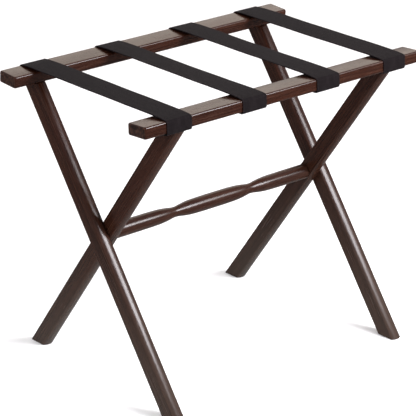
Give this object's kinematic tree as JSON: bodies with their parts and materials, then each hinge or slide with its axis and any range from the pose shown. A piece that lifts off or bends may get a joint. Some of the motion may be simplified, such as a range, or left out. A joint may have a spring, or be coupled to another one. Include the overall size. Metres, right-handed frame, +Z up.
{
  "type": "folding luggage rack",
  "caption": "Wooden X-frame rack that folds flat about a turned stretcher; webbing straps across its two rails hold a suitcase off the floor.",
  "frame": {"origin": "on the floor, midway between the four feet, straight below the crossing's axis", "axes": "+X along the rails to the right, +Y to the rear (the outer frame's rail), +Z up; the front rail is at -Y"},
  "size_m": [0.584, 0.4062, 0.495],
  "materials": {
    "walnut_stain": "hardwood stained dark walnut with a red undertone, under satin lacquer",
    "webbing": "black 2 in nylon webbing, plain ribbed weave, matt",
    "zinc_steel": "bright zinc plate",
    "plain_beech": "unfinished beech dowel"
  },
  "bodies": {
    "outer_frame": {"rear_rail": "walnut_stain", "outer_leg_left": "walnut_stain", "outer_leg_right": "walnut_stain", "stretcher": "walnut_stain", "pivot_pin_left": "zinc_steel", "pivot_pin_right": "zinc_steel", "leg_screw_outer_left": "zinc_steel", "leg_dowel_outer_left": "plain_beech", "leg_screw_outer_right": "zinc_steel", "leg_dowel_outer_right": "plain_beech", "strap_1_rear": "webbing", "strap_1_span": "webbing", "rear_staple_1a": "zinc_steel", "rear_staple_1b": "zinc_steel", "strap_2_rear": "webbing", "strap_2_span": "webbing", "rear_staple_2a": "zinc_steel", "rear_staple_2b": "zinc_steel", "strap_3_rear": "webbing", "strap_3_span": "webbing", "rear_staple_3a": "zinc_steel", "rear_staple_3b": "zinc_steel", "strap_4_rear": "webbing", "strap_4_span": "webbing", "rear_staple_4a": "zinc_steel", "rear_staple_4b": "zinc_steel"},
    "inner_frame": {"front_rail": "walnut_stain", "inner_leg_left": "walnut_stain", "inner_leg_right": "walnut_stain", "leg_screw_inner_left": "zinc_steel", "leg_dowel_inner_left": "plain_beech", "leg_screw_inner_right": "zinc_steel", "leg_dowel_inner_right": "plain_beech", "strap_1_front": "webbing", "front_staple_1a": "zinc_steel", "front_staple_1b": "zinc_steel", "strap_2_front": "webbing", "front_staple_2a": "zinc_steel", "front_staple_2b": "zinc_steel", "strap_3_front": "webbing", "front_staple_3a": "zinc_steel", "front_staple_3b": "zinc_steel", "strap_4_front": "webbing", "front_staple_4a": "zinc_steel", "front_staple_4b": "zinc_steel"}
  },
  "joints": [
    {"name": "fold", "type": "hinge", "parent": "outer_frame", "child": "inner_frame", "pos_m": [0, 0, 0.2527], "axis": [-1, 0, 0], "range_deg": [0, 58.5], "deforming": ["strap_1_span", "strap_2_span", "strap_3_span", "strap_4_span"]}
  ]
}
